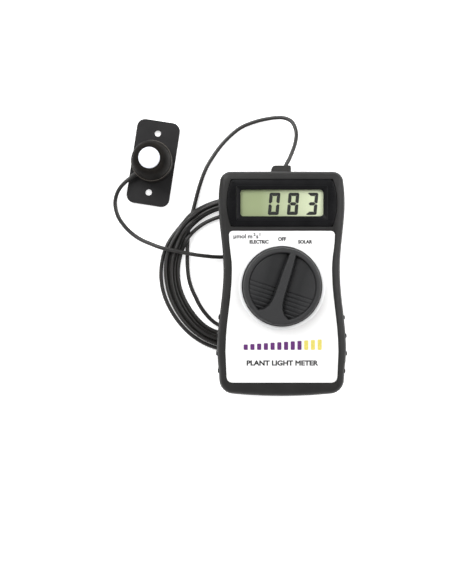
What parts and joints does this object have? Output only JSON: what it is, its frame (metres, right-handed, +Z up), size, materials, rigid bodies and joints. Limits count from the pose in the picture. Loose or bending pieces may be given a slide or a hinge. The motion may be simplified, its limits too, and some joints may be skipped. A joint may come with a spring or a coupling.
{
  "type": "light meter",
  "caption": "Palm-size plant light meter with a waisted case, digital display, round selector knob and a domed light sensor on a drilled plate, joined by a coiled cable.",
  "frame": {"origin": "on the floor, at the middle of the box round the meter and the sensor head, without the cable", "axes": "+Z up out of the meter's face, +Y towards the meter's display end, +X to the right of its face"},
  "size_m": [0.133, 0.1592, 0.0362],
  "materials": {
    "case_plastic": "fine moulded texture, charcoal",
    "bezel_plastic": "satin black, finely ribbed at the sides",
    "label_print": "satin printed film",
    "ring_plastic": "pale grey, satin",
    "knob_plastic": "satin charcoal with fine grip lines",
    "clear_plastic": "clear and glossy",
    "display_glass": "pale green reflective display",
    "frame_plastic": "plain moulded",
    "contact_silicone": "soft matte",
    "board_laminate": "green solder mask",
    "chip_epoxy": "matte black",
    "capacitor_sleeve": "shrink sleeve",
    "trimmer_plastic": "plain moulded",
    "trimmer_rotor_plastic": "plain moulded",
    "cell_steel": "bright nickel",
    "screw_steel": "zinc plated",
    "contact_brass": "thin sprung sheet",
    "plate_paint": "satin black powder coat",
    "sensor_plastic": "satin black, turned",
    "diffuser_acrylic": "opal white",
    "filter_glass": "blue-green filter glass",
    "gland_rubber": "matte black",
    "cable_jacket": "satin black jacket"
  },
  "bodies": {
    "meter": {"front_housing": "case_plastic", "rear_housing": "case_plastic", "case_screw_1": "screw_steel", "case_screw_2": "screw_steel", "cable_gland": "gland_rubber", "face_label": "label_print", "dial_ring": "ring_plastic", "display_bezel": "bezel_plastic", "display_window": "clear_plastic", "lcd_glass": "display_glass", "lcd_frame": "frame_plastic", "contact_strip_upper": "contact_silicone", "contact_strip_lower": "contact_silicone", "circuit_board": "board_laminate", "board_screw_1": "screw_steel", "board_screw_2": "screw_steel", "board_screw_3": "screw_steel", "board_screw_4": "screw_steel", "meter_chip": "chip_epoxy", "filter_capacitor": "capacitor_sleeve", "sun_trimmer_body": "trimmer_plastic", "lamp_trimmer_body": "trimmer_plastic", "battery_holder": "frame_plastic", "coin_cell": "cell_steel", "battery_contact_inner": "contact_brass", "battery_contact_clip": "screw_steel", "mounting_plate": "plate_paint", "plate_screw": "screw_steel", "sensor_housing": "sensor_plastic", "sensor_diffuser": "diffuser_acrylic", "sensor_filter": "filter_glass", "photodiode": "cell_steel", "photodiode_socket": "frame_plastic", "sensor_board": "board_laminate", "sensor_base_plug": "frame_plastic", "sensor_cable_sleeve": "gland_rubber", "sensor_cable_lead": "cable_jacket", "sensor_cable_coil": "cable_jacket", "sensor_cable_tail": "cable_jacket"},
    "selector": {"selector_knob": "knob_plastic", "selector_rotor": "frame_plastic", "knob_screw": "screw_steel", "detent_ball_1": "screw_steel", "detent_ball_2": "screw_steel", "detent_spring_1": "screw_steel", "detent_spring_2": "screw_steel", "wiper_contact_1": "contact_brass", "wiper_contact_2": "contact_brass", "wiper_contact_3": "contact_brass"},
    "sun_trimmer": {"sun_trimmer_rotor": "trimmer_rotor_plastic"},
    "lamp_trimmer": {"lamp_trimmer_rotor": "trimmer_rotor_plastic"}
  },
  "joints": [
    {"name": "selector_turn", "type": "hinge", "parent": "meter", "child": "selector", "pos_m": [0.0262, -0.0173, 0.03], "axis": [0, 0, 1], "range_deg": [0, 36]},
    {"name": "sun_trimmer_turn", "type": "hinge", "parent": "meter", "child": "sun_trimmer", "pos_m": [0.0152, 0.0097, 0.0175], "axis": [0, 0, 1], "range_deg": [-135, 135]},
    {"name": "lamp_trimmer_turn", "type": "hinge", "parent": "meter", "child": "lamp_trimmer", "pos_m": [0.0372, 0.0097, 0.0175], "axis": [0, 0, 1], "range_deg": [-135, 135]}
  ]
}
